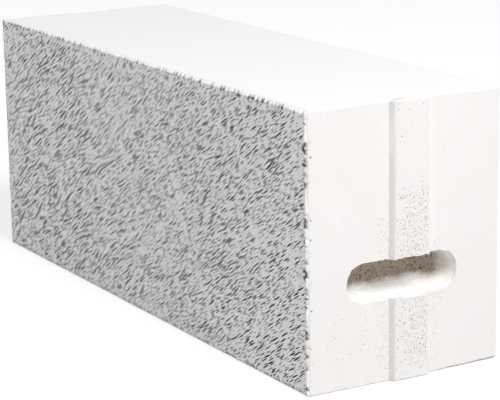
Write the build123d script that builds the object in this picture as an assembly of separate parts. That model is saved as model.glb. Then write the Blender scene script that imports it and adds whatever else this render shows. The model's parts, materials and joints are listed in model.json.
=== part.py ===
from build123d import *
import os

# Aerated concrete wall block: one cast and wire-cut piece, with a tongue on one end face,
# the groove for the next block's tongue on the other, and a grip pocket in each end.
# X runs along the block with the tongue at +X, Y across it and Z up.
# The origin is the middle of the bottom bed face of the sawn body.

# Sawn body
block_length = 624.0
block_width = 200.0
block_height = 249.0
long_arris_bevel = 1.5
end_arris_bevel = 2.0

# Tongue, the full height of the end face and a little off its middle
tongue_height = 5.0
tongue_tip_width = 36.0
tongue_flank_run = 3.0
tongue_offset = 3.5
tongue_tip_bevel = 1.0

# Room that the groove leaves round a tongue
groove_side_clearance = 1.5
groove_depth_clearance = 1.0

# Grip pocket, cut by a round-nosed cutter that moves across the end face
pocket_width = 114.0
pocket_height = 35.0
pocket_depth = 42.0
pocket_nose_flat = 5.0
pocket_offset = -3.5
pocket_centre_height = 92.0

end_face_x = block_length / 2
tongue_root_width = tongue_tip_width + 2 * tongue_flank_run
tongue_tip_x = end_face_x + tongue_height
groove_depth = tongue_height + groove_depth_clearance
groove_mouth_width = tongue_root_width + 2 * groove_side_clearance
groove_floor_width = tongue_tip_width + 2 * groove_side_clearance
pocket_nose_radius = (pocket_height - pocket_nose_flat) / 2


def key_bar(root_width, tip_width, height, footing):
    """A bar of tongue section standing on the XY plane, its root on x = 0 and its tip at x = height.

    The footing carries the root's width back behind x = 0, into the body or past the end face.
    """
    section = Polygon(
        (-footing, -root_width / 2),
        (0, -root_width / 2),
        (height, -tip_width / 2),
        (height, tip_width / 2),
        (0, root_width / 2),
        (-footing, root_width / 2),
        align=None,
    )
    return extrude(section, block_height)


def sawn_body():
    """The body as the wires leave it, its arrises eased by handling."""
    section = Plane.YZ * Rectangle(block_width, block_height)
    section = chamfer(section.vertices(), long_arris_bevel)
    body = Pos(0, 0, block_height / 2) * extrude(section, block_length / 2, both=True)
    ends = body.faces().sort_by(Axis.X)
    return chamfer(ends[0].edges() + ends[-1].edges(), end_arris_bevel)


def tongue():
    """The tongue on the +X end face, with a small bevel round its tip."""
    bar = key_bar(tongue_root_width, tongue_tip_width, tongue_height, footing=2 * end_arris_bevel)
    bar = chamfer(bar.faces().sort_by(Axis.X)[-1].edges(), tongue_tip_bevel)
    return Pos(end_face_x, tongue_offset, 0) * bar


def groove_cutter():
    """What the groove takes out of the -X end face."""
    bar = key_bar(groove_mouth_width, groove_floor_width, groove_depth, footing=2 * end_arris_bevel)
    return Pos(-end_face_x, tongue_offset, 0) * bar


def pocket_cutter():
    """What one grip pocket takes out, with its mouth clear of the tongue and its nose towards -X."""
    mouth = Plane.YZ.offset(tongue_tip_x) * SlotOverall(pocket_width, pocket_height)
    cutter = extrude(mouth, -(pocket_depth + tongue_height))
    cutter = fillet(cutter.faces().sort_by(Axis.X)[0].edges(), pocket_nose_radius)
    return Pos(0, pocket_offset, pocket_centre_height) * cutter


pocket = pocket_cutter()
block = sawn_body() + tongue() - groove_cutter() - pocket - mirror(pocket, about=Plane.YZ)
block.label = "block"

os.makedirs("parts", exist_ok=True)
export_step(block, "parts/block.step")
print("block volume in litres:", round(block.volume / 1e6, 3))
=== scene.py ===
import bisect
import bpy
import bmesh
import json
import math
import random
from mathutils import Vector, Matrix, kdtree, noise
from mathutils.geometry import delaunay_2d_cdt

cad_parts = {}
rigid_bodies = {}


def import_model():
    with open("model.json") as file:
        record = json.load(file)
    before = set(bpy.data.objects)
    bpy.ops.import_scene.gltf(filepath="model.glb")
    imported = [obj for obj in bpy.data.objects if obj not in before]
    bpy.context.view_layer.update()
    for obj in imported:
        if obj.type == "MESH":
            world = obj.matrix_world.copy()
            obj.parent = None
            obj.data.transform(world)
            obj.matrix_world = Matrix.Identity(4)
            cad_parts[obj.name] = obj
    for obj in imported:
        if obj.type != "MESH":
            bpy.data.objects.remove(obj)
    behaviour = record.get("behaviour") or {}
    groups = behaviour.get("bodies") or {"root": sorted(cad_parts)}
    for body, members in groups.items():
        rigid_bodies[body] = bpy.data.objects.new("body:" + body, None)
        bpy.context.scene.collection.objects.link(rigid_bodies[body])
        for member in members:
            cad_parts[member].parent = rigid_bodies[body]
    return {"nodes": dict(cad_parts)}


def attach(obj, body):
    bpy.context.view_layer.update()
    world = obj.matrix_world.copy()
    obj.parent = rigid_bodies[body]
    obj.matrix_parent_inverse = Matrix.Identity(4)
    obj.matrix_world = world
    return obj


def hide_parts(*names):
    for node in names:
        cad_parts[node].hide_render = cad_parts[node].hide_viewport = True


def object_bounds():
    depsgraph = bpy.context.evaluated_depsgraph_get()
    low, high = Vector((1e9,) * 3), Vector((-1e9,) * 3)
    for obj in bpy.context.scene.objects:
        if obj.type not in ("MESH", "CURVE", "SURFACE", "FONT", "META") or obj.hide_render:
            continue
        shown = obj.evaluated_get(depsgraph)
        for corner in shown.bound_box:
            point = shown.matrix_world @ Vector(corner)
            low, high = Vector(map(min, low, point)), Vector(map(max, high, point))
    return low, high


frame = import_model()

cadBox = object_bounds()
print("loaded the frame:", ", ".join(sorted(frame["nodes"])))


# the shell of the block is worked out in millimetres
millimetre = 0.001

blockShape = {
    "length": 624.0, "width": 200.0, "height": 249.0,
    "cornerBevel": 2.0,             # on the upright arrises
    "tongueHeight": 5.0, "tongueTip": 36.0, "tongueFlank": 3.0, "tipBevel": 1.0,
    "keyOffset": 3.5,               # tongue and groove lie this far to +Y
    "grooveSideRoom": 1.5, "grooveDepthRoom": 1.0,
    "pocketWidth": 114.0, "pocketHeight": 35.0, "pocketDepth": 42.0,
    "pocketNose": 15.0, "pocketOffset": -3.5, "pocketCentre": 92.0,
    "looseStep": 13.0,              # between the loose points of a smooth side
    "looseShift": 3.0,              # how far they stray from their grid
    "looseGap": 3.5,                # and how far they keep from every rim
    "unevenness": 0.22,             # waviness of every face
    "waveRoom": 1.2,                # the block shrinks by so many times that, to stay inside its size
    "slowWave": 0.011, "quickWave": 0.05, "quickShare": 0.5,
    "smoothAngle": 28.0,
    "seed": 23,
}
arrisWear = {
    "step": 3.4,                    # between two points of a worn arris
    "cutStep": 2.1,                 # and where it borders a wire-cut side
    "narrowStep": 99.0,             # so the narrow sides get no points between their corners
    "reach": 1.1,                   # how far the crumbs reach in beside a wire-cut side
    "uprightShare": 0.45, "levelShare": 0.6, "bedShare": 0.8,       # of that reach elsewhere
    "shift": 0.3, "rarity": 1.7,
    "chance": 0.05, "cutChance": 0.16, "chips": (0.5, 1.3),         # larger chips
    "openFrom": 0.5, "opened": (0.06, 0.2),                         # bites that get painted shade, and how much
}

shellPoints = []        # x, y, z
shellTones = []         # painted shade of a pit or bite, cut face, pocket
shellFaces = []
wearDice = random.Random(blockShape["seed"])
noise.seed_set(blockShape["seed"])


def addPoint(place, pit=0.0, cut=0.0, pocket=0.0):
    shellPoints.append(Vector(place))
    shellTones.append((pit, cut, pocket))
    return len(shellPoints) - 1


def wornLine(first, last, inward, wear, cut=0.0, step=None):
    # points between two corners, each nibbled a little into the face that inward points to
    start, end = shellPoints[first], shellPoints[last]
    count = max(1, round((end - start).length / (step or arrisWear["cutStep" if cut else "step"])))
    line = [first]
    for place in range(1, count):
        share = (place + wearDice.uniform(-arrisWear["shift"], arrisWear["shift"])) / count
        bite = wear * wearDice.random() ** arrisWear["rarity"]
        if wearDice.random() < arrisWear["cutChance" if cut else "chance"]:
            bite += wear * wearDice.uniform(*arrisWear["chips"])
        # the larger bites beside a wire-cut side get painted shade
        paintedShade = cut and bite > arrisWear["openFrom"] * wear
        opened = wearDice.uniform(*arrisWear["opened"]) if paintedShade else 0.0
        line.append(addPoint(start.lerp(end, share) + Vector(inward) * bite, pit=opened, cut=cut))
    line.append(last)
    return line


def ribbonBetween(lineA, lineB):
    # closes the narrow band between two lines that run the same way
    start = shellPoints[lineA[0]]
    along = shellPoints[lineA[-1]] - start
    if along.length < 1e-6:
        along = shellPoints[lineB[-1]] - shellPoints[lineB[0]]
    at = lambda point: (shellPoints[point] - start).dot(along)
    a = b = 0
    while a < len(lineA) - 1 or b < len(lineB) - 1:
        stepA = b == len(lineB) - 1 or (a < len(lineA) - 1 and at(lineA[a + 1]) <= at(lineB[b + 1]))
        if stepA:
            shellFaces.append((lineA[a], lineA[a + 1], lineB[b]))
            a += 1
        else:
            shellFaces.append((lineA[a], lineB[b + 1], lineB[b]))
            b += 1


def back(line):
    return list(reversed(line))


def joined(*lines):
    # one closed loop of lines that each begin where the last one ends
    return [point for line in lines for point in line[:-1]]


# plan of the block, anticlockwise from above, each corner with the name of the side that starts there,
# its bevel at the top and its bevel at the bottom
shape = blockShape
halfLength, halfWidth, tall = shape["length"] / 2, shape["width"] / 2, shape["height"]
bevel, tip = shape["cornerBevel"], shape["tipBevel"]
keyMiddle, tipHalf = shape["keyOffset"], shape["tongueTip"] / 2
rootHalf = tipHalf + shape["tongueFlank"]
tongueX = halfLength + shape["tongueHeight"]
grooveX = -halfLength + shape["tongueHeight"] + shape["grooveDepthRoom"]
mouthHalf, floorHalf = rootHalf + shape["grooveSideRoom"], tipHalf + shape["grooveSideRoom"]

planCorners = [
    ("front", -halfLength + bevel, -halfWidth, 1.3, 0.9),
    ("frontRightBevel", halfLength - bevel, -halfWidth, 3.0, 1.2),
    ("leftField", halfLength, -halfWidth + bevel, 1.8, 0.6),
    ("leftFlank", halfLength, keyMiddle - rootHalf, 1.3, 0.5),
    ("leftTipBevel", tongueX - tip, keyMiddle - tipHalf - 0.5 * tip, 2.2, 0.6),
    ("tongueTop", tongueX, keyMiddle - tipHalf + tip, 1.2, 0.6),
    ("rightTipBevel", tongueX, keyMiddle + tipHalf - tip, 1.4, 0.8),
    ("rightFlank", tongueX - tip, keyMiddle + tipHalf + 0.5 * tip, 1.6, 0.8),
    ("rightField", halfLength, keyMiddle + rootHalf, 1.3, 0.5),
    ("backRightBevel", halfLength, halfWidth - bevel, 2.0, 2.8),
    ("back", halfLength - bevel, halfWidth, 1.5, 2.4),
    ("backLeftBevel", -halfLength + bevel, halfWidth, 2.4, 2.0),
    ("farField", -halfLength, halfWidth - bevel, 2.2, 2.0),
    ("farFlank", -halfLength, keyMiddle + mouthHalf, 1.6, 1.6),
    ("grooveFloor", grooveX, keyMiddle + floorHalf, 1.6, 1.6),
    ("nearFlank", grooveX, keyMiddle - floorHalf, 1.6, 1.6),
    ("nearField", -halfLength, keyMiddle - mouthHalf, 1.6, 1.6),
    ("frontLeftBevel", -halfLength, -halfWidth + bevel, 2.4, 2.2),
]
cornerCount = len(planCorners)
sideNames = [corner[0] for corner in planCorners]
planSpots = [Vector((corner[1], corner[2], 0)) for corner in planCorners]
cutSides = {"front", "back"}
wideSides = {"front", "leftField", "tongueTop", "rightField", "back", "farField", "grooveFloor",
             "nearField"}
sideRuns = [(planSpots[(i + 1) % cornerCount] - planSpots[i]).normalized() for i in range(cornerCount)]
sideInward = [Vector((-run.y, run.x, 0)) for run in sideRuns]


def insetCorner(index, size):
    before, after = sideInward[index - 1], sideInward[index]
    return planSpots[index] + (before + after) * (size / (1 + before.dot(after)))


# ends of the upright lines and the corners of the two bed faces
lowEnds, highEnds, bottomCorners, topCorners = [], [], [], []
for i, (name, x, y, topBevel, bottomBevel) in enumerate(planCorners):
    cut = 1.0 if name in cutSides or sideNames[i - 1] in cutSides else 0.0
    lowEnds.append(addPoint((x, y, bottomBevel), cut=cut))
    highEnds.append(addPoint((x, y, tall - topBevel), cut=cut))
    inset = insetCorner(i, bottomBevel)
    bottomCorners.append(addPoint((inset.x, inset.y, 0.0)))
    inset = insetCorner(i, topBevel)
    topCorners.append(addPoint((inset.x, inset.y, tall)))

# grip pockets: the corners of the plan that they cross, and the height of their mouths there
pocketHalf = shape["pocketHeight"] / 2
pocketLow, pocketHigh = shape["pocketCentre"] - pocketHalf, shape["pocketCentre"] + pocketHalf
pocketRun = shape["pocketWidth"] / 2 - pocketHalf
pocketEnds = (shape["pocketOffset"] - pocketRun, shape["pocketOffset"] + pocketRun)
crossedSides = {
    "near": ("leftFlank", "leftTipBevel", "tongueTop", "rightTipBevel", "rightFlank", "rightField"),
    "far": ("farFlank", "grooveFloor", "nearFlank", "nearField"),
}
crossedCorners = {end: [i for i, name in enumerate(sideNames) if name in sides]
                  for end, sides in crossedSides.items()}

uprights = {}           # corner index -> lines from the bottom up, two where a pocket breaks them
mouthLow, mouthHigh = {}, {}
for i in range(cornerCount):
    here, before = sideNames[i], sideNames[i - 1]
    if here in wideSides:
        inward = sideRuns[i]
        cut = 1.0 if here in cutSides else 0.0
    elif before in wideSides:
        inward = -sideRuns[i - 1]
        cut = 1.0 if before in cutSides else 0.0
    else:
        inward, cut = sideRuns[i], 0.0
    wear = arrisWear["reach"] * (1.0 if cut else arrisWear["uprightShare"])
    if any(i in crossed for crossed in crossedCorners.values()):
        spot = planSpots[i]
        mouthLow[i] = addPoint((spot.x, spot.y, pocketLow))
        mouthHigh[i] = addPoint((spot.x, spot.y, pocketHigh))
        uprights[i] = [wornLine(lowEnds[i], mouthLow[i], inward, wear, cut),
                       wornLine(mouthHigh[i], highEnds[i], inward, wear, cut)]
    else:
        uprights[i] = [wornLine(lowEnds[i], highEnds[i], inward, wear, cut)]

# level lines: round the foot and the head of the sides, and round the two bed faces
footLines, headLines, bottomLines, topLines = [], [], [], []
for i in range(cornerCount):
    after = (i + 1) % cornerCount
    cut = 1.0 if sideNames[i] in cutSides else 0.0
    wear = arrisWear["reach"] * (1.0 if cut else arrisWear["levelShare"])
    bedWear = wear * arrisWear["bedShare"]
    step = None if sideNames[i] in wideSides else arrisWear["narrowStep"]
    footLines.append(wornLine(lowEnds[i], lowEnds[after], (0, 0, 1), wear, cut, step))
    headLines.append(wornLine(highEnds[i], highEnds[after], (0, 0, -1), wear, cut, step))
    bottomLines.append(wornLine(bottomCorners[i], bottomCorners[after], sideInward[i], bedWear))
    topLines.append(wornLine(topCorners[i], topCorners[after], sideInward[i], bedWear))
    ribbonBetween(footLines[i], bottomLines[i])
    ribbonBetween(headLines[i], topLines[i])


# the pits: Geometry Nodes scatter the opened air bubbles over a flat plate

def addNode(tree, kind, sockets=None, **settings):
    node = tree.nodes.new(kind)
    for name, value in settings.items():
        setattr(node, name, value)
    for name, value in (sockets or {}).items():
        if isinstance(value, bpy.types.NodeSocket):
            tree.links.new(value, node.inputs[name])
        else:
            node.inputs[name].default_value = value
    return node


def addMath(tree, operation, first, second=0.0):
    return addNode(tree, "ShaderNodeMath", {0: first, 1: second}, operation=operation).outputs[0]


def addVector(tree, x=0.0, y=0.0, z=0.0):
    return addNode(tree, "ShaderNodeCombineXYZ", {0: x, 1: y, 2: z}).outputs[0]


def addTurn(tree, angle):
    return addNode(tree, "FunctionNodeEulerToRotation", {0: addVector(tree, z=angle)}).outputs[0]


def stitch(spots, edges):
    # triangles between flat spots that keep the edges: gives spots, edges, faces and each spot's source
    return delaunay_2d_cdt(spots, edges, [], 0, 1e-6, True)


def ringEdges(count, first=0):
    return [(first + k, first + (k + 1) % count) for k in range(count)]


bubbleKinds = {         # unit shapes, long way along x: the convex rim, then the points of its bottom, where shade is painted
    "dragged": [
        ([(-1, 0), (0.15, -1), (1, 0.1), (-0.2, 1)],
         [(-0.55, 0.0, -0.9), (0.5, 0.05, -1.0)]),
        ([(-1, -0.1), (-0.3, -0.95), (1, 0), (0.35, 1)],
         [(-0.5, -0.15, -1.0), (0.55, 0.15, -0.8)]),
        ([(-1, -0.35), (0.1, -1), (1, -0.3), (0.55, 0.75), (-0.6, 0.7)],
         [(-0.62, -0.1, -0.8), (0.0, 0.3, -1.0), (0.62, -0.05, -0.8)]),
        ([(-1, 0.3), (-0.55, -0.7), (0.6, -0.75), (1, 0.35), (0, 1)],
         [(-0.62, 0.1, -0.8), (0.0, -0.3, -1.0), (0.62, 0.1, -0.8)]),
    ],
    "milled": [
        ([(-1, 0), (-0.4, -0.8), (0.5, -0.9), (1, 0), (0.4, 0.85), (-0.5, 0.8)], [(0.15, 0.1, -1.0)]),
        ([(-1, 0.1), (-0.1, -1), (0.9, -0.4), (0.8, 0.5), (-0.2, 0.9)], [(-0.2, 0.0, -1.0)]),
    ],
}


def makeBubbleKinds(kind):
    kinds = bpy.data.collections.new("bubbles " + kind)
    for number, (rim, lows) in enumerate(bubbleKinds[kind]):
        spots = [Vector(spot) for spot in rim + [low[:2] for low in lows]]
        filled = stitch(spots, ringEdges(len(rim)))
        corners = [(*spot, 0.0) for spot in rim] + list(lows)
        mesh = bpy.data.meshes.new(kind + " bubble " + str(number))
        mesh.from_pydata(corners, [], [tuple(filled[3][i][0] for i in face) for face in filled[2]])
        pit = mesh.attributes.new("pit", "FLOAT", "POINT")
        pit.data.foreach_set("value", [0.0] * len(rim) + [1.0] * len(lows))
        size = mesh.attributes.new("bubbleSize", "FLOAT", "POINT")
        size.data.foreach_set("value", [float(len(corners))] * len(corners))
        kinds.objects.link(bpy.data.objects.new(mesh.name, mesh))
    return kinds


pitInputs = [           # name, kind, value
    ("Spacing", "Float", 2.3), ("Stretch", "Float", 3.2), ("Tilt", "Float", 0.5),
    ("Kept Share", "Float", 0.9), ("Patchiness", "Float", 1.6), ("Patch Scale", "Float", 0.02),
    ("Half Width", "Float", 0.8), ("Length Ratio", "Float", 1.2), ("Depth Ratio", "Float", 2.0),
    ("Edge Gap", "Float", 0.8), ("Band Start", "Float", -9999.0), ("Band End", "Float", 9999.0),
    ("Band Low", "Float", -9999.0), ("Band High", "Float", 9999.0), ("Band Fade", "Float", 4.0),
    ("Rest Share", "Float", 0.0), ("Seed", "Int", 1), ("Kinds", "Collection", None),
    ("Finish", "Material", None),
]
bubbleRules = {
    "crowding": 3.0,                                # tries for each place, before the spacing thins them
    "least": 0.45, "spread": 0.8, "rarity": 1.8,    # shares of the half width, large ones being rare
    "lengths": (0.6, 1.0), "depths": (0.6, 1.1),
    "wideRoom": 0.6, "longRoom": 0.9,               # of the way to the rim
    "lean": 0.05,
    "patchDetail": 2.0,
    "seeds": {"lost": 7, "size": 11, "length": 13, "depth": 17, "turn": 19, "lean": 23},
}


def makePitTree(rules):
    tree = bpy.data.node_groups.new("opened bubbles", "GeometryNodeTree")
    tree.interface.new_socket("Plate", in_out="INPUT", socket_type="NodeSocketGeometry")
    tree.interface.new_socket("Bubbles", in_out="OUTPUT", socket_type="NodeSocketGeometry")
    identifiers = {}
    for name, kind, value in pitInputs:
        item = tree.interface.new_socket(name, in_out="INPUT", socket_type="NodeSocket" + kind)
        if value is not None:
            item.default_value = value
        identifiers[name] = item.identifier
    given = tree.nodes.new("NodeGroupInput").outputs
    plate = given["Plate"]

    def calc(operation, first, second=0.0):
        return addMath(tree, operation, first, second)

    def chance(purpose, low=0.0, high=1.0):
        return addNode(tree, "FunctionNodeRandomValue", {2: low, 3: high, "Seed": rules["seeds"][purpose]},
                       data_type="FLOAT").outputs[1]

    def moved(geometry, **change):
        return addNode(tree, "GeometryNodeTransform", {"Geometry": geometry, **change}).outputs[0]

    # the plate is squeezed along the drag of the wire, so that the points come out stretched along it
    squeeze = addVector(tree, calc("DIVIDE", 1.0, given["Stretch"]), 1.0, 1.0)
    unsqueeze = addVector(tree, given["Stretch"], 1.0, 1.0)
    turned = moved(plate, Rotation=addTurn(tree, calc("MULTIPLY", given["Tilt"], -1.0)))
    density = calc("DIVIDE", rules["crowding"], calc("MULTIPLY", given["Spacing"], given["Spacing"]))
    points = addNode(tree, "GeometryNodeDistributePointsOnFaces",
                     {"Mesh": moved(turned, Scale=squeeze), "Distance Min": given["Spacing"],
                      "Density Max": density, "Seed": given["Seed"]},
                     distribute_method="POISSON").outputs["Points"]
    points = moved(moved(points, Scale=unsqueeze), Rotation=addTurn(tree, given["Tilt"]))
    # distance to the plate's rim, and where the bubbles lie in patches
    place = addNode(tree, "GeometryNodeInputPosition").outputs[0]
    apart = addNode(tree, "ShaderNodeSeparateXYZ", {0: place}).outputs
    toRim = addNode(tree, "GeometryNodeProximity", {0: plate, "Sample Position": place},
                    target_element="EDGES").outputs["Distance"]
    patches = addNode(tree, "ShaderNodeTexNoise",
                      {"Vector": place, "Scale": given["Patch Scale"], "Detail": rules["patchDetail"]},
                      noise_dimensions="3D").outputs[0]
    patches = calc("MULTIPLY", calc("SUBTRACT", patches, 0.5), given["Patchiness"])
    kept = calc("ADD", given["Kept Share"], patches)

    def insideBand(value, low, high):
        rise = calc("DIVIDE", calc("SUBTRACT", value, low), given["Band Fade"])
        fall = calc("DIVIDE", calc("SUBTRACT", high, value), given["Band Fade"])
        return calc("MINIMUM", calc("MAXIMUM", calc("MINIMUM", rise, fall), 0.0), 1.0)

    band = calc("MULTIPLY", insideBand(apart["X"], given["Band Start"], given["Band End"]),
                insideBand(apart["Y"], given["Band Low"], given["Band High"]))
    kept = calc("MULTIPLY", kept, calc("MAXIMUM", band, given["Rest Share"]))
    lost = calc("GREATER_THAN", chance("lost"), kept)
    tooNear = calc("LESS_THAN", toRim, given["Edge Gap"])
    gone = calc("MAXIMUM", lost, tooNear)
    points = addNode(tree, "GeometryNodeDeleteGeometry", {"Geometry": points, "Selection": gone},
                     domain="POINT").outputs[0]
    # sizes: most bubbles small, a few large, none past the rim
    large = calc("MULTIPLY", calc("POWER", chance("size"), rules["rarity"]), rules["spread"])
    halfWide = calc("MULTIPLY", given["Half Width"], calc("ADD", rules["least"], large))
    halfWide = calc("MINIMUM", halfWide, calc("MULTIPLY", toRim, rules["wideRoom"]))
    halfLong = calc("MULTIPLY", halfWide, given["Length Ratio"])
    halfLong = calc("MULTIPLY", halfLong, chance("length", *rules["lengths"]))
    halfLong = calc("MINIMUM", halfLong, calc("MULTIPLY", toRim, rules["longRoom"]))
    deep = calc("MULTIPLY", halfWide, given["Depth Ratio"])
    deep = calc("MULTIPLY", deep, chance("depth", *rules["depths"]))
    # one bubble of its kind, turned along the drag or against it
    kinds = addNode(tree, "GeometryNodeCollectionInfo",
                    {"Collection": given["Kinds"], "Separate Children": True,
                     "Reset Children": True}).outputs[0]
    about = calc("MULTIPLY", calc("GREATER_THAN", chance("turn"), 0.5), math.pi)
    lean = calc("ADD", given["Tilt"], calc("ADD", about, chance("lean", -rules["lean"], rules["lean"])))
    bubbles = addNode(tree, "GeometryNodeInstanceOnPoints",
                      {"Points": points, "Instance": kinds, "Pick Instance": True,
                       "Rotation": addTurn(tree, lean),
                       "Scale": addVector(tree, halfLong, halfWide, deep)}).outputs[0]
    solid = addNode(tree, "GeometryNodeRealizeInstances", {"Geometry": bubbles}).outputs[0]
    finished = addNode(tree, "GeometryNodeSetMaterial", {"Geometry": solid, "Material": given["Finish"]})
    tree.links.new(finished.outputs[0], tree.nodes.new("NodeGroupOutput").inputs[0])
    return tree, identifiers


pitTree, pitIdentifiers = makePitTree(bubbleRules)
blockFinish = bpy.data.materials.new("aerated concrete")


def scatterBubbles(flatOutline, settings, name, kinds):
    # gives each bubble as its middle, reach, rim in order, low points, faces and painted shade
    plateMesh = bpy.data.meshes.new(name)
    plateMesh.from_pydata([(p.x, p.y, 0) for p in flatOutline], [], [tuple(range(len(flatOutline)))])
    plate = bpy.data.objects.new(name, plateMesh)
    bpy.context.scene.collection.objects.link(plate)
    scatter = plate.modifiers.new("bubbles", "NODES")
    scatter.node_group = pitTree
    for key in settings.keys() & pitIdentifiers.keys():
        scatter[pitIdentifiers[key]] = settings[key]
    scatter[pitIdentifiers["Kinds"]] = kinds
    scatter[pitIdentifiers["Finish"]] = blockFinish
    depsgraph = bpy.context.evaluated_depsgraph_get()
    result = bpy.data.meshes.new_from_object(plate.evaluated_get(depsgraph), depsgraph=depsgraph)
    plate.modifiers.remove(scatter)
    corners = [vertex.co.copy() for vertex in result.vertices]
    pits = [item.value for item in result.attributes["pit"].data]
    sizes = [item.value for item in result.attributes["bubbleSize"].data]
    bubbles, owner, start = [], {}, 0
    while start < len(corners):
        own = range(start, start + round(sizes[start]))
        rim = [corners[i] for i in own if pits[i] < 0.5]
        low = [corners[i] for i in own if pits[i] >= 0.5]
        middle = sum(rim, Vector()) / len(rim)
        reach = max((corner - middle).length for corner in rim)
        owner[start] = len(bubbles)
        bubbles.append((middle, reach, rim, low, [], settings["Painted Shade"]))
        start = own[-1] + 1
    starts = sorted(owner)
    for polygon in result.polygons:
        first = starts[bisect.bisect_right(starts, min(polygon.vertices)) - 1]
        bubbles[owner[first]][4].append(tuple(i - first for i in polygon.vertices))
    bpy.data.objects.remove(plate)
    bpy.data.meshes.remove(plateMesh)
    bpy.data.meshes.remove(result)
    return bubbles


def rimsCross(first, second, gap=0.02):
    # two convex rims are apart if one of their edges parts them
    for rim, other in ((first, second), (second, first)):
        for a, b in zip(rim, rim[1:] + rim[:1]):
            across = (b.y - a.y, a.x - b.x)
            level = a.x * across[0] + a.y * across[1]
            if all(c.x * across[0] + c.y * across[1] > level + gap for c in other):
                return False
    return True


def keepApart(bubbles):
    # drops every bubble that would cross a larger one
    bubbles = sorted(bubbles, key=lambda bubble: -bubble[1])
    widest = bubbles[0][1] if bubbles else 0
    tree = kdtree.KDTree(len(bubbles))
    for index, bubble in enumerate(bubbles):
        tree.insert(bubble[0], index)
    tree.balance()
    kept = [True] * len(bubbles)
    for index, (middle, reach, rim, low, faces, paintedShade) in enumerate(bubbles):
        if not kept[index]:
            continue
        for place, other, distance in tree.find_range(middle, reach + widest):
            near = other > index and kept[other] and distance < reach + bubbles[other][1]
            if near and rimsCross(rim, bubbles[other][2]):
                kept[other] = False
    return [bubble for bubble, stays in zip(bubbles, kept) if stays]


def insideOutline(spot, outline):
    inside = False
    for a, b in zip(outline, outline[1:] + outline[:1]):
        if (a.y > spot.y) != (b.y > spot.y) and spot.x < a.x + (b.x - a.x) * (spot.y - a.y) / (b.y - a.y):
            inside = not inside
    return inside


def looseSpots(flat, outline):
    # a loose grid over a smooth side, for its waviness
    rims = kdtree.KDTree(len(flat))
    for number, spot in enumerate(flat):
        rims.insert((spot.x, spot.y, 0), number)
    rims.balance()
    grid, shift = shape["looseStep"], shape["looseShift"]
    low = Vector((min(p.x for p in flat), min(p.y for p in flat)))
    high = Vector((max(p.x for p in flat), max(p.y for p in flat)))
    found = []
    for column in range(1, int((high.x - low.x) / grid) + 1):
        for row in range(1, int((high.y - low.y) / grid) + 1):
            spot = Vector((low.x + grid * column + wearDice.uniform(-shift, shift),
                           low.y + grid * row + wearDice.uniform(-shift, shift)))
            if rims.find((spot.x, spot.y, 0))[2] > shape["looseGap"] and insideOutline(spot, outline):
                found.append(spot)
    return found


bubbleCollections = {kind: makeBubbleKinds(kind) for kind in bubbleKinds}
onOutline, onGrid = -1, -2          # owners of the points that belong to no bubble


def pittedSide(name, outline, origin, along, up, outward, sets, turn=0, cut=0.0):
    # fills a flat side between its outline and the rims of its bubbles, and adds the bubbles
    origin, along, up, outward = Vector(origin), Vector(along), Vector(up), Vector(outward)

    def lay(spot, height=0.0, pit=0.0):
        return addPoint(origin + along * spot.x + up * spot.y + outward * height, pit=pit, cut=cut)

    def flatten(point):
        away = point - origin
        return Vector((away.dot(along), away.dot(up)))

    border = [flatten(shellPoints[i]) for i in outline]
    kinds = bubbleCollections["dragged" if cut else "milled"]
    bubbles = []
    for number, settings in enumerate(sets):
        seeded = {**settings, "Seed": settings["Seed"] + turn}
        bubbles += scatterBubbles(border, seeded, name + str(number), kinds)
    bubbles = keepApart(bubbles)
    flat, indices, owner = list(border), list(outline), [onOutline] * len(outline)
    edges = ringEdges(len(outline))
    for number, (middle, reach, rim, low, faces, paintedShade) in enumerate(bubbles):
        first = len(flat)
        for corner in rim:
            flat.append(Vector((corner.x, corner.y)))
            indices.append(lay(corner))
            owner.append(number)
        # the bubble's bottom points carry the shade painted into it
        own = indices[first:] + [lay(spot, spot.z, paintedShade) for spot in low]
        edges += ringEdges(len(rim), first)
        shellFaces.extend(tuple(own[i] for i in face) for face in faces)
    if not cut:
        for spot in looseSpots(flat, border):
            flat.append(spot)
            indices.append(lay(spot))
            owner.append(onGrid)
    filled = stitch(flat, edges)
    source = []
    for spot, origins in zip(filled[0], filled[3]):
        if not origins:             # two edges crossed here
            flat.append(spot)
            indices.append(lay(spot))
            owner.append(onOutline)
        source.append(origins[0] if origins else len(flat) - 1)
    for face in filled[2]:
        a, b, c = (source[i] for i in face)
        if owner[a] == owner[b] == owner[c] != onGrid:      # over a bubble, or outside the side's outline
            if owner[a] >= 0 or not insideOutline((flat[a] + flat[b] + flat[c]) / 3, border):
                continue
        shellFaces.append((indices[a], indices[b], indices[c]))
    print("side", name, "has", len(bubbles), "bubbles")


# the mouths and walls of the grip pockets

pocketLook = {
    "rimStep": 3.2,
    "rimWear": 0.9, "rimRarity": 1.5, "rimLeast": 0.15,
    "topWear": 0.5,                     # so much more at the top of the mouth
    "rings": [1.6, 5.0, 9.0, 13.0, 17.0, 21.0, 24.5, 27.0],     # depths before the round nose
    "noseSteps": 7,
    "roughNear": 0.25, "roughDeep": 1.3, "roughScale": 0.21,
}


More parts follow.
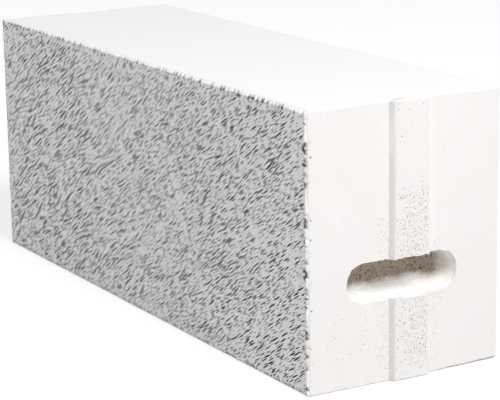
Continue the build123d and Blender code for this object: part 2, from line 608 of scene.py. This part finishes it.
def cutPocket(side, look):
    crossed = crossedCorners[side]
    sign = 1 if side == "near" else -1
    faceX = sign * halfLength
    nominal = {}            # point -> (y, z) on the true mouth, and the way out from the pocket there

    def lay(y, z, x, outY, outZ, fixed=None):
        bite = look["rimWear"] * wearDice.random() ** look["rimRarity"]
        bite = bite * (1.0 + look["topWear"] * max(outZ, 0.0)) + look["rimLeast"]
        point = fixed if fixed is not None else addPoint((x, y + outY * bite, z + outZ * bite))
        nominal[point] = (y, z, outY, outZ)
        return point

    def straight(first, last, out, wide):
        # along the lower or upper edge of the mouth between two corners of the plan
        start, end = shellPoints[first], shellPoints[last]
        count = max(1, round((end - start).length / look["rimStep"])) if wide else 1
        line = [lay(start.y, start.z, start.x, 0, out, first)]
        for k in range(1, count):
            spot = start.lerp(end, k / count)
            line.append(lay(spot.y, spot.z, spot.x, 0, out))
        line.append(lay(end.y, end.z, end.x, 0, out, last))
        return line

    def roundEnd(lowCorner, highCorner, endY):
        # from the lower edge round one end of the mouth to the upper edge
        way = 1 if endY > shape["pocketOffset"] else -1
        startY = shellPoints[lowCorner].y
        count = max(1, round(abs(endY - startY) / look["rimStep"]))
        turns = round(math.pi * pocketHalf / look["rimStep"])

        def level(steps, z, outZ):
            return [lay(startY + (endY - startY) * k / count, z, faceX, 0, outZ) for k in steps]

        line = [lay(startY, pocketLow, faceX, 0, -1, lowCorner)]
        line += level(range(1, count + 1), pocketLow, -1)
        for k in range(1, turns):
            angle = -math.pi / 2 + math.pi * k / turns
            outY, outZ = way * math.cos(angle), math.sin(angle)
            y, z = endY + pocketHalf * outY, shape["pocketCentre"] + pocketHalf * outZ
            line.append(lay(y, z, faceX, outY, outZ))
        line += level(range(count, 0, -1), pocketHigh, 1)
        line.append(lay(startY, pocketHigh, faceX, 0, 1, highCorner))
        return line

    stretches = list(zip(crossed, crossed[1:]))
    lowers = [straight(mouthLow[a], mouthLow[b], -1, sideNames[a] in wideSides) for a, b in stretches]
    uppers = [straight(mouthHigh[a], mouthHigh[b], 1, sideNames[a] in wideSides) for a, b in stretches]
    firstY, lastY = pocketEnds if sign > 0 else reversed(pocketEnds)
    firstEnd = roundEnd(mouthLow[crossed[0]], mouthHigh[crossed[0]], firstY)
    lastEnd = roundEnd(mouthLow[crossed[-1]], mouthHigh[crossed[-1]], lastY)
    loop = joined(*lowers, lastEnd, *(back(line) for line in reversed(uppers)), back(firstEnd))
    # rings down the wall and round the nose, as depth and inset
    depths = [(depth, 0.0) for depth in look["rings"]]
    nose = shape["pocketNose"]
    for k in range(1, look["noseSteps"] + 1):
        angle = math.pi / 2 * k / look["noseSteps"]
        depths.append((shape["pocketDepth"] - nose + nose * math.sin(angle), nose * (1 - math.cos(angle))))
    ring = loop
    for depth, inset in depths:
        share = depth / shape["pocketDepth"]
        rough = look["roughNear"] + (look["roughDeep"] - look["roughNear"]) * share ** 2
        below = []
        for point in loop:
            y, z, outY, outZ = nominal[point]
            spot = Vector((faceX - sign * depth, y - outY * inset, z - outZ * inset))
            shake = noise.noise_vector(spot * look["roughScale"]) * rough
            below.append(addPoint(spot + shake, pocket=share))
        for k in range(len(loop)):
            after = (k + 1) % len(loop)
            shellFaces.append((ring[k], ring[after], below[after]))
            shellFaces.append((ring[k], below[after], below[k]))
        ring = below
    flat = [Vector((shellPoints[i].y, shellPoints[i].z)) for i in ring]
    closing = stitch(flat, ringEdges(len(ring)))
    for face in closing[2]:
        a, b, c = (closing[3][i][0] for i in face)
        if insideOutline((flat[a] + flat[b] + flat[c]) / 3, flat):
            shellFaces.append((ring[a], ring[b], ring[c]))
    print("pocket", side, "has", len(loop), "points round its mouth")
    return {"lowers": lowers, "uppers": uppers, "first": firstEnd, "last": lastEnd}


pocketMouths = {side: cutPocket(side, pocketLook) for side in crossedCorners}


# the pits of each side: sizes in millimetres, angles in radians, and the shade painted at their bottoms

wireCut = {
    "Spacing": 1.64, "Stretch": 6.2, "Tilt": 0.545, "Kept Share": 0.92, "Patchiness": 1.3,
    "Patch Scale": 0.020, "Half Width": 0.82, "Length Ratio": 8.6, "Depth Ratio": 2.4,
    "Edge Gap": 0.5, "Painted Shade": 1.0,
}
finePits = {
    **wireCut, "Spacing": 1.35, "Kept Share": 0.76, "Half Width": 0.44, "Length Ratio": 9.5,
    "Painted Shade": 0.8,
}
milled = {
    "Spacing": 2.2, "Stretch": 1.15, "Tilt": 0.2, "Kept Share": 0.75, "Patchiness": 1.2,
    "Patch Scale": 0.06, "Half Width": 0.6, "Depth Ratio": 1.5, "Painted Shade": 0.25,
}
besideArris = {
    **milled, "Spacing": 2.0, "Stretch": 1.4, "Tilt": 0.5, "Patchiness": 1.8, "Half Width": 0.75,
    "Edge Gap": 0.3, "Band Fade": 1.5, "Painted Shade": 0.8,
}
bed = {
    "Spacing": 5.0, "Stretch": 1.4, "Tilt": 0.1, "Kept Share": 0.08, "Patchiness": 1.2,
    "Patch Scale": 0.012, "Half Width": 0.7, "Depth Ratio": 1.3, "Painted Shade": 0.25,
}
sidePits = {
    "front": [      # longer towards the groove
        {**wireCut, "Spacing": 1.58, "Stretch": 8.0, "Half Width": 0.86, "Length Ratio": 12.0,
         "Band End": 330.0, "Band Fade": 120.0, "Seed": 5},
        {**wireCut, "Spacing": 1.6, "Stretch": 6.6, "Half Width": 0.80, "Length Ratio": 9.8,
         "Band Start": 210.0, "Band Fade": 120.0, "Seed": 9},
        {**finePits, "Seed": 7},
    ],
    "back": [       # seen from there the drag runs the other way
        {**wireCut, "Tilt": 2.597, "Spacing": 2.0, "Seed": 8},
    ],
    "leftField": [
        {**milled, "Spacing": 1.7, "Half Width": 0.5, "Band Start": 66.0, "Band End": 85.0,
         "Band Low": 2.0, "Band High": 150.0, "Rest Share": 0.004, "Seed": 3},
        {**besideArris, "Band Start": -5.0, "Band End": 3.0, "Seed": 21},
        {**milled, "Spacing": 1.9, "Half Width": 0.5, "Patchiness": 4.0, "Kept Share": 0.3,
         "Band Start": 4.0, "Band End": 66.0, "Band Low": 20.0, "Band High": 72.0, "Band Fade": 9.0,
         "Seed": 22},
    ],
    "tongueTop": [
        {**milled, "Spacing": 1.25, "Half Width": 0.56, "Band Start": -5.0, "Band End": 60.0,
         "Band Low": 4.0, "Band High": 178.0, "Band Fade": 14.0, "Rest Share": 0.03,
         "Painted Shade": 0.36, "Seed": 4},
    ],
    "rightField": [
        {**milled, "Spacing": 1.7, "Half Width": 0.5, "Band Start": -6.0, "Band End": 15.0,
         "Band Low": 10.0, "Band High": 122.0, "Rest Share": 0.006, "Seed": 6},
    ],
    "farField": [
        {**milled, "Spacing": 2.4, "Half Width": 0.8, "Band Start": 58.0, "Band End": 90.0,
         "Rest Share": 0.02, "Seed": 12},
    ],
    "grooveFloor": [
        {**milled, "Kept Share": 0.55, "Half Width": 0.85, "Band Low": 10.0, "Band High": 200.0,
         "Band Fade": 20.0, "Rest Share": 0.05, "Seed": 13},
    ],
    "nearField": [
        {**milled, "Spacing": 2.4, "Half Width": 0.8, "Band Start": -6.0, "Band End": 14.0,
         "Rest Share": 0.02, "Seed": 14},
        {**besideArris, "Band Start": 69.0, "Band End": 78.0, "Seed": 23},
    ],
    "topBed": [{**bed, "Seed": 15}],
    "bottomBed": [{**bed, "Seed": 16}],
}
seedStep = 40       # between the two parts of a side that a pocket breaks


def fillUprightSide(i):
    # one side of the block between two upright lines, whole or broken by a pocket
    name = sideNames[i]
    after = (i + 1) % cornerCount
    foot, head = footLines[i], headLines[i]
    left, right = uprights[i], uprights[after]
    pocketSide = next((side for side, crossed in crossedCorners.items()
                       if i in crossed or after in crossed), None)
    if pocketSide:
        crossed, mouth = crossedCorners[pocketSide], pocketMouths[pocketSide]
    bands = []
    if not pocketSide:
        loops = [joined(foot, right[0], back(head), back(left[0]))]
        bands = [(left[0], right[0])]
    elif i in crossed and after in crossed:
        low, high = (mouth[key][crossed.index(i)] for key in ("lowers", "uppers"))
        loops = [joined(foot, right[0], back(low), back(left[0])),
                 joined(high, right[1], back(head), back(left[1]))]
        bands = [(left[0], right[0]), (left[1], right[1])]
    elif after in crossed:      # the pocket's round end comes in from the right
        loops = [joined(foot, right[0], mouth["first"], right[1], back(head), back(left[0]))]
    else:                       # and from the left
        loops = [joined(foot, right[0], back(head), back(left[1]), back(mouth["last"]), back(left[0]))]
    if name in wideSides:
        for part, loop in enumerate(loops):
            pittedSide(name + str(part), loop, planSpots[i], sideRuns[i], (0, 0, 1), -sideInward[i],
                       sidePits[name], turn=seedStep * part, cut=1.0 if name in cutSides else 0.0)
    else:
        for lineA, lineB in bands:
            ribbonBetween(lineA, lineB)


for side in range(cornerCount):
    fillUprightSide(side)
beds = (("topBed", topLines, tall, (0, 0, 1)), ("bottomBed", bottomLines, 0, (0, 0, -1)))
for name, lines, level, outward in beds:
    pittedSide(name, joined(*lines), (0, 0, level), (1, 0, 0), (0, 1, 0), outward, sidePits[name])

for kinds in bubbleCollections.values():
    for bubble in list(kinds.objects):
        bubbleMesh = bubble.data
        bpy.data.objects.remove(bubble)
        bpy.data.meshes.remove(bubbleMesh)
    bpy.data.collections.remove(kinds)


def roughenShell():
    # a slow waviness, kept inside the true size
    amount = shape["unevenness"]
    middle = Vector((0, 0, tall / 2))
    for point in shellPoints:
        quick = noise.noise_vector(point * shape["quickWave"]) * shape["quickShare"]
        wave = noise.noise_vector(point * shape["slowWave"]) + quick
        away = point - middle
        outwards = Vector((away.x / halfLength, away.y / halfWidth, away.z / (tall / 2)))
        point += wave * amount - outwards * (amount * shape["waveRoom"])
        point.x = min(max(point.x, -halfLength), tongueX)
        point.y = min(max(point.y, -halfWidth), halfWidth)
        point.z = min(max(point.z, 0.0), tall)


def makeBlock():
    roughenShell()
    mesh = bpy.data.meshes.new("block_body")
    mesh.from_pydata([point * millimetre for point in shellPoints], [], shellFaces)
    for index, name in enumerate(("pit", "cutFace", "pocketDepth")):
        layer = mesh.attributes.new(name, "FLOAT", "POINT")
        layer.data.foreach_set("value", [tone[index] for tone in shellTones])
    work = bmesh.new()
    work.from_mesh(mesh)
    bmesh.ops.delete(work, geom=[v for v in work.verts if not v.link_faces], context="VERTS")
    bmesh.ops.recalc_face_normals(work, faces=work.faces)
    openEdges = sum(1 for edge in work.edges if len(edge.link_faces) != 2)
    litres = round(work.calc_volume(signed=True) * 1000, 2)
    work.to_mesh(mesh)
    work.free()
    mesh.polygons.foreach_set("use_smooth", [True] * len(mesh.polygons))
    mesh.set_sharp_from_angle(angle=math.radians(shape["smoothAngle"]))
    mesh.materials.append(blockFinish)
    piece = bpy.data.objects.new("block_body", mesh)
    bpy.context.scene.collection.objects.link(piece)
    print("block body:", len(mesh.polygons), "triangles,", openEdges, "open edges,", litres, "litres")
    return piece


block = makeBlock()


# the finish of the aerated concrete, with painted light and shade among its colours

concreteLook = {
    # colours, as shares of red, green and blue
    # the wire-cut sides' paler colour is partly painted light, and the white is for painted light and
    # highlights
    "pale": (0.874, 0.869, 0.858), "cutPale": (0.925, 0.925, 0.920), "white": (1.0, 1.0, 1.0),
    # the grey is for painted shade in marks and pores and for faint clouds; the milled end's colour is
    # partly painted shade
    "shade": (0.17, 0.17, 0.165), "olive": (0.66, 0.64, 0.55), "milled": (0.764, 0.746, 0.736),
    # the tongue's flanks: painted shade on the one away from the light, painted light on the other
    "paintedFlank": (0.700, 0.690, 0.680), "paintedLitFlank": (0.93, 0.925, 0.92), "blush": (0.770, 0.735, 0.718),
    # the pocket's inside gets painted light
    "wiped": (0.795, 0.785, 0.780), "pocketPaintedLight": (0.985, 0.98, 0.97),
    # a brown tone with painted shade for the pocket's back, and a near black for painted shade in pits,
    # bites and pores
    "pocketBrownAndShade": (0.55, 0.46, 0.365), "paintedPitShade": (0.045, 0.045, 0.042),
    "roughness": 0.93, "gloss": 0.2,
    # how fine each noise is, to the metre, its detail and its roughness
    "grainNoise": (1500, 2, 0.55), "cloudNoise": (22, 3, 0.55), "patchNoise": (60, 3, 0.55),
    "streakNoise": (620, 1, 0.7), "blushNoise": (17, 2, 0.55), "wipeNoise": (70, 2, 0.55),
    "speckNoise": (820, 1, 0.5), "crumbNoise": (520, 2, 0.6),
    "dragAngle": 0.545, "dragSqueeze": 0.10, "wipeAngle": 1.05, "wipeSqueeze": 0.12,
    "dashStretch": 1.6, "dashSpacing": 0.0020, "dashSize": 0.20, "dashLeast": 0.25, "dashEdge": 9.0,
    "dashRandomness": 0.85, "dashShare": 0.3,
    # a noise's or a depth's range, with what it gives at its two ends where that isn't 0 and 1
    "clouds": (0.45, 0.75, 0.0, 0.05), "paintedHighlightStreaks": (0.46, 0.62, 0.0, 0.9),
    "paintedShadeStreaks": (0.44, 0.30, 0.0, 0.3), "olivePatches": (0.56, 0.72, 0.0, 0.35),
    "blushClouds": (0.48, 0.66), "wipes": (0.54, 0.72, 0.0, 0.7),
    "speckPatches": (0.35, 0.6, 0.3, 1.0), "specks": (0.40, 0.30, 0.0, 0.3),
    "crumbsAndShade": (0.45, 0.36, 0.0, 0.8),
    "notCut": (0.3, 0.0), "pitEdge": (0.01, 0.15), "pocketLip": (0.0, 0.08), "roughPocket": (0.25, 0.8),
    "shadeAndStainDepth": (0.55, 0.80), "shadeAndStainDepthShift": (0.3, 0.7, -0.08, 0.08), "farEndDepth": (0.15, 0.4),
    # places in metres, given the same way
    "paintedLightEnd": (0.12, 0.28, 0.0, 0.6), "calmMiddle": (0.17, 0.06, 0.0, 0.32), "endFace": (0.3095, 0.3112),
    "flankFoot": (0.3118, 0.3124), "flankTop": (0.3166, 0.3158), "awaySide": (0.003, -0.005),
    "wipedSide": (-0.02, -0.04), "speckedWidth": (0.036, 0.020), "speckedHeight": (0.195, 0.125),
    "shadeAndStainHeight": (0.0785, 0.0830), "shadeAndStainHeightShift": (0.3, 0.7, -0.002, 0.002),
    "farEndSide": (0.020, 0.038, 0.0, 0.38), "farEndHeight": (0.080, 0.088),
    # bump
    "smoothRelief": 0.25, "pocketRelief": 6.0, "reliefDepth": 0.00045,
}


def finishConcrete(material, look):
    material.use_nodes = True
    tree = material.node_tree
    tree.nodes.clear()
    shader = addNode(tree, "ShaderNodeBsdfPrincipled",
                     {"Roughness": look["roughness"], "Specular IOR Level": look["gloss"]})
    addNode(tree, "ShaderNodeOutputMaterial", {"Surface": shader.outputs[0]})
    place = addNode(tree, "ShaderNodeTexCoord").outputs["Object"]
    x, y, z = addNode(tree, "ShaderNodeSeparateXYZ", {0: place}).outputs
    pit, cut, deep = (addNode(tree, "ShaderNodeAttribute", attribute_name=name).outputs["Fac"]
                      for name in ("pit", "cutFace", "pocketDepth"))

    def calc(operation, first, second=0.0):
        return addMath(tree, operation, first, second)

    def times(first, *others):
        for other in others:
            first = calc("MULTIPLY", first, other)
        return first

    def spots(name, where=place):
        scale, detail, rough = look[name]
        return addNode(tree, "ShaderNodeTexNoise",
                       {"Vector": where, "Scale": scale, "Detail": detail, "Roughness": rough}).outputs[0]

    def between(value, name):
        low, high, outLow, outHigh = (*look[name], 0.0, 1.0)[:4]
        return addNode(tree, "ShaderNodeMapRange",
                       {0: value, 1: low, 2: high, 3: outLow, 4: outHigh}).outputs[0]

    def tint(first, second, share):
        node = addNode(tree, "ShaderNodeMix", data_type="RGBA")
        for socket, value in ((6, first), (7, second), (0, share)):
            if isinstance(value, bpy.types.NodeSocket):
                tree.links.new(value, node.inputs[socket])
            else:
                node.inputs[socket].default_value = (*value, 1.0) if isinstance(value, tuple) else value
        return node.outputs[2]

    def drawnOut(rotation, scale):
        turned = addNode(tree, "ShaderNodeMapping", {"Vector": place, "Rotation": rotation}).outputs[0]
        return addNode(tree, "ShaderNodeMapping", {"Vector": turned, "Scale": scale}).outputs[0]

    # the drag of the wire stretches the grain of the long sides up towards the tongue
    dragged = drawnOut((0, look["dragAngle"], 0), (look["dragSqueeze"], 1, 1))
    streaks = spots("streakNoise", dragged)

    def dashes():
        # short marks along the drag, one to a cell, of many sizes
        apart = addNode(tree, "ShaderNodeSeparateXYZ", {0: dragged}).outputs
        cells = addNode(tree, "ShaderNodeTexVoronoi",
                        {"Vector": addVector(tree, times(apart["X"], look["dashStretch"]), apart["Z"]),
                         "Scale": 1 / look["dashSpacing"], "Randomness": look["dashRandomness"]},
                        voronoi_dimensions="2D", feature="F1").outputs
        chance = addNode(tree, "ShaderNodeSeparateColor", {0: cells["Color"]}).outputs[0]
        reach = times(calc("ADD", chance, look["dashLeast"]), look["dashSize"])
        inside = times(calc("SUBTRACT", reach, cells["Distance"]), look["dashEdge"])
        return calc("MINIMUM", calc("MAXIMUM", inside, 0.0), 1.0)

    patch = spots("patchNoise")
    dash = times(dashes(), cut)
    smooth = between(cut, "notCut")
    # the wire-cut sides are paler than the smooth ones, partly painted light
    colour = tint(look["pale"], look["cutPale"], cut)
    colour = tint(colour, look["shade"], times(between(spots("cloudNoise"), "clouds"), cut))
    # painted shade in the short drag marks
    colour = tint(colour, look["shade"], times(dash, look["dashShare"]))
    # painted highlights on the ridges between the drag marks
    colour = tint(colour, look["white"], times(between(streaks, "paintedHighlightStreaks"), cut))
    # painted shade in the fine drag grooves
    colour = tint(colour, look["shade"], times(between(streaks, "paintedShadeStreaks"), cut))
    # painted light, paler towards the tongue end of the long sides
    colour = tint(colour, look["white"], times(between(x, "paintedLightEnd"), cut))
    colour = tint(colour, look["olive"], times(between(patch, "olivePatches"), cut))
    # the end with the tongue: its milled face and flanks with painted shade and painted light, warm clouds,
    # wiped streaks, grey specks of painted shade on and beside the tongue
    endFace = between(x, "endFace")
    paintedFlank = times(between(x, "flankFoot"), between(x, "flankTop"), smooth)
    # the milled end is darker, partly painted shade that offsets the strong key lamp on it
    colour = tint(colour, look["milled"], times(endFace, smooth))
    # painted shade on the flank away from the light, painted light on the other flank
    colour = tint(colour, tint(look["paintedLitFlank"], look["paintedFlank"], between(y, "awaySide")), paintedFlank)
    colour = tint(colour, look["blush"], times(between(spots("blushNoise"), "blushClouds"), endFace))
    swept = drawnOut((look["wipeAngle"], 0, 0), (1, look["wipeSqueeze"], 1))
    wipes = between(spots("wipeNoise", swept), "wipes")
    colour = tint(colour, look["wiped"], times(wipes, endFace, between(y, "wipedSide")))
    fromTongue = calc("ABSOLUTE", calc("SUBTRACT", y, keyMiddle * millimetre))
    speckled = times(between(fromTongue, "speckedWidth"), between(z, "speckedHeight"), endFace,
                     between(patch, "speckPatches"))
    # grey specks of painted shade in the small pores
    colour = tint(colour, look["shade"], times(speckled, between(spots("speckNoise"), "specks")))
    # the pocket: a pale floor that is painted light over its whole inside, a brown back and a fainter brown
    # at its far end, both partly brown tone and partly painted shade
    # painted light over the pocket's inside
    colour = tint(colour, look["pocketPaintedLight"], between(deep, "pocketLip"))
    # brown tone and painted shade on the back of the pocket and, fainter, its far end
    shadeAndStain = times(between(calc("ADD", deep, between(patch, "shadeAndStainDepthShift")), "shadeAndStainDepth"),
                  between(calc("ADD", z, between(patch, "shadeAndStainHeightShift")), "shadeAndStainHeight"))
    farEnd = times(between(deep, "farEndDepth"), between(y, "farEndSide"), between(z, "farEndHeight"))
    colour = tint(colour, look["pocketBrownAndShade"], calc("MAXIMUM", shadeAndStain, farEnd))
    crumbsAndShade = spots("crumbNoise")
    # dark crumbs of painted shade in the rough back of the pocket
    colour = tint(colour, look["paintedPitShade"], times(between(crumbsAndShade, "crumbsAndShade"), shadeAndStain))
    # painted shade in the pits and dark bites, lighter in the middle of the long sides
    calm = calc("SUBTRACT", 1.0, times(between(calc("ABSOLUTE", x), "calmMiddle"), cut))
    colour = tint(colour, look["paintedPitShade"], times(between(pit, "pitEdge"), calm))
    tree.links.new(colour, shader.inputs["Base Color"])
    # relief: pores too small for the mesh
    height = calc("SUBTRACT", times(spots("grainNoise"), calc("ADD", look["smoothRelief"], cut)), dash)
    height = calc("ADD", height, times(crumbsAndShade, between(deep, "roughPocket"), look["pocketRelief"]))
    relief = addNode(tree, "ShaderNodeBump",
                     {"Height": height, "Distance": look["reliefDepth"], "Strength": 1.0})
    tree.links.new(relief.outputs[0], shader.inputs["Normal"])


finishConcrete(blockFinish, concreteLook)
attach(block, "root")
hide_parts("block")
print("finished the concrete")


# floor, light and camera

studio = {
    "floorSize": 30.0, "floorColour": (0.45, 0.45, 0.45), "floorLift": 0.64, "skyStrength": 0.40,
    "lamps": [              # name, watts, direction from the block, distance and size in metres
        ("key", 224.0, (0.69, 0.0, 0.62), 5.0, 1.8),
        ("side fill", 60.0, (-0.60, -0.75, 0.28), 5.0, 2.4),
    ],
}


def seenDirectly(tree):
    # 1 for rays that show the background itself, in a gloss or through glass too
    rays = addNode(tree, "ShaderNodeLightPath").outputs
    share = addMath(tree, "MAXIMUM", rays["Is Camera Ray"], rays["Is Glossy Ray"])
    return addMath(tree, "MAXIMUM", share, rays["Is Transmission Ray"])


def makeFloor():
    half = studio["floorSize"] / 2
    corners = [(-half, -half, 0), (half, -half, 0), (half, half, 0), (-half, half, 0)]
    mesh = bpy.data.meshes.new("floor")
    mesh.from_pydata(corners, [], [(0, 1, 2, 3)])
    floor = bpy.data.objects.new("floor", mesh)
    bpy.context.scene.collection.objects.link(floor)
    paper = bpy.data.materials.new("pale paper")
    paper.use_nodes = True
    tree = paper.node_tree
    tree.nodes.clear()
    matt = addNode(tree, "ShaderNodeBsdfDiffuse", {"Color": (*studio["floorColour"], 1)})
    strength = addMath(tree, "MULTIPLY", seenDirectly(tree), studio["floorLift"])
    lift = addNode(tree, "ShaderNodeEmission", {"Color": (1, 1, 1, 1), "Strength": strength})
    both = addNode(tree, "ShaderNodeAddShader", {0: matt.outputs[0], 1: lift.outputs[0]})
    addNode(tree, "ShaderNodeOutputMaterial", {"Surface": both.outputs[0]})
    mesh.materials.append(paper)


def makeSky():
    world = bpy.data.worlds.new("white room")
    bpy.context.scene.world = world
    world.use_nodes = True
    tree = world.node_tree
    tree.nodes.clear()
    strength = addNode(tree, "ShaderNodeMapRange",
                       {0: seenDirectly(tree), 3: studio["skyStrength"], 4: 1.0}).outputs[0]
    sky = addNode(tree, "ShaderNodeBackground", {"Color": (1, 1, 1, 1), "Strength": strength})
    addNode(tree, "ShaderNodeOutputWorld", {"Surface": sky.outputs[0]})


def makeLamps():
    for name, power, direction, distance, size in studio["lamps"]:
        light = bpy.data.lights.new(name, "AREA")
        light.shape = "DISK"
        light.size = size
        light.energy = power
        lamp = bpy.data.objects.new(name, light)
        away = Vector(direction).normalized()
        lamp.location = away * distance
        lamp.rotation_euler = away.to_track_quat("Z", "Y").to_euler()
        bpy.context.scene.collection.objects.link(lamp)


cameraView = {
    "azimuth": 60.01, "elevation": 13.55, "roll": 0.90,
    "lens": 146.90, "sensor": 36.0, "farthest": 100.0, "distance": 2.2598,
    "middle": (-0.26439, -0.04664),     # the box's lowest corner in the camera's own right and up, metres
}


def makeCamera():
    view = cameraView
    azimuth, elevation, roll = (math.radians(view[key]) for key in ("azimuth", "elevation", "roll"))
    flat = math.cos(elevation)
    away = Vector((math.sin(azimuth) * flat, -math.cos(azimuth) * flat, math.sin(elevation)))
    level = Vector((math.cos(azimuth), math.sin(azimuth), 0))
    upright = away.cross(level)
    right = level * math.cos(roll) - upright * math.sin(roll)
    up = level * math.sin(roll) + upright * math.cos(roll)
    corner = Vector(cadBox[0])
    place = corner - right * view["middle"][0] - up * view["middle"][1] + away * view["distance"]
    camera = bpy.data.cameras.new("camera")
    camera.lens = view["lens"]
    camera.sensor_width = view["sensor"]
    camera.clip_end = view["farthest"]
    taker = bpy.data.objects.new("camera", camera)
    taker.matrix_world = Matrix.Translation(place) @ Matrix((right, up, away)).transposed().to_4x4()
    bpy.context.scene.collection.objects.link(taker)
    bpy.context.scene.camera = taker


makeFloor()
makeSky()
makeLamps()
makeCamera()
bpy.context.scene.view_settings.view_transform = "Standard"
print("set the floor, the light and the camera")
